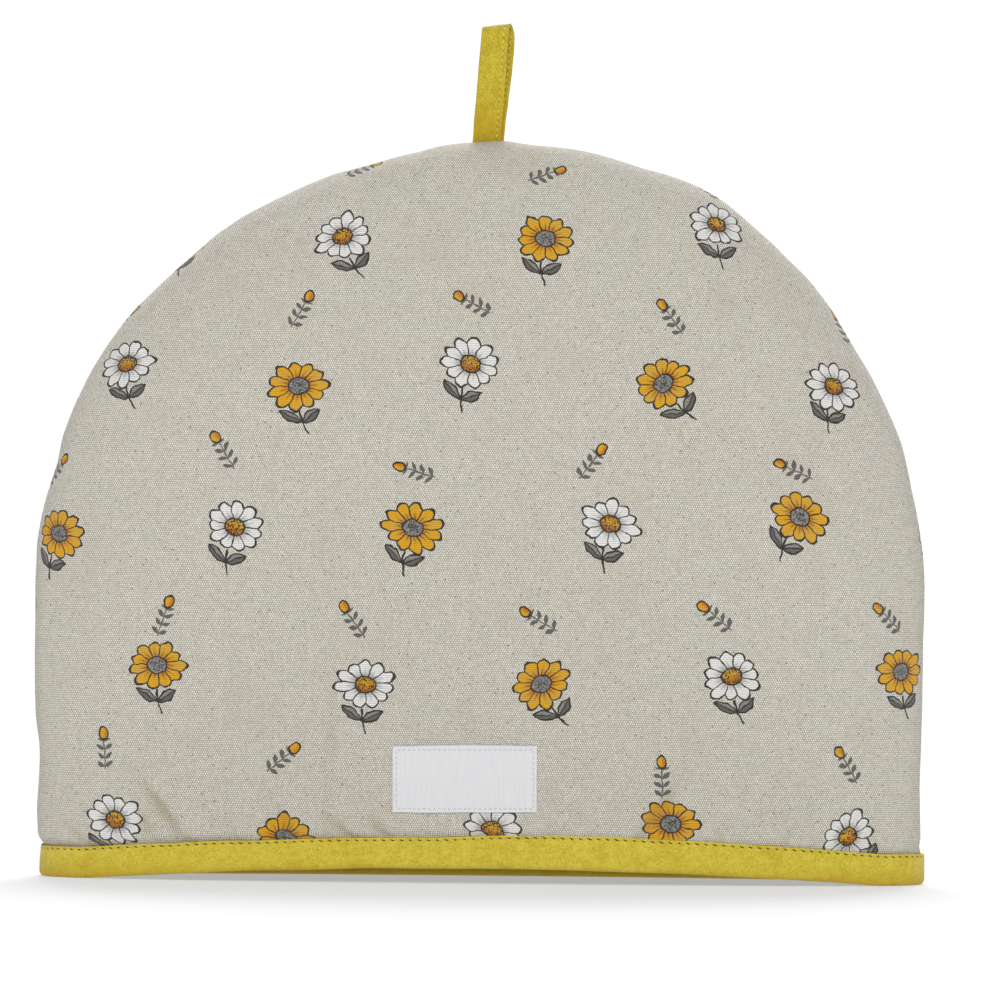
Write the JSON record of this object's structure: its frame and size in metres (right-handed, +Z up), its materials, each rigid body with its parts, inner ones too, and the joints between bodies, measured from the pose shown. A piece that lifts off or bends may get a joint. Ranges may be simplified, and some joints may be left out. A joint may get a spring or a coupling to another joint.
{
  "type": "tea cosy",
  "caption": "Padded cloth tea cosy: a dome of two sewn panels with a bound hem, a hanging loop at the top and a plain sewn-on label.",
  "frame": {"origin": "middle of the mouth, on the surface that the hem stands on", "axes": "+Z up, the front panel faces -Y, +X to the right of someone who looks at the front"},
  "size_m": [0.3407, 0.0936, 0.3276],
  "materials": {
    "printed_canvas": "matte oatmeal cotton canvas with a printed flower repeat",
    "mustard_tape": "matte mustard cotton tape, topstitched",
    "white_ribbon": "matte white ribbed ribbon"
  },
  "bodies": {
    "root": {"front_panel": "printed_canvas", "back_panel": "printed_canvas", "hem_binding": "mustard_tape", "hanging_loop": "mustard_tape", "label": "white_ribbon"}
  },
  "joints": []
}
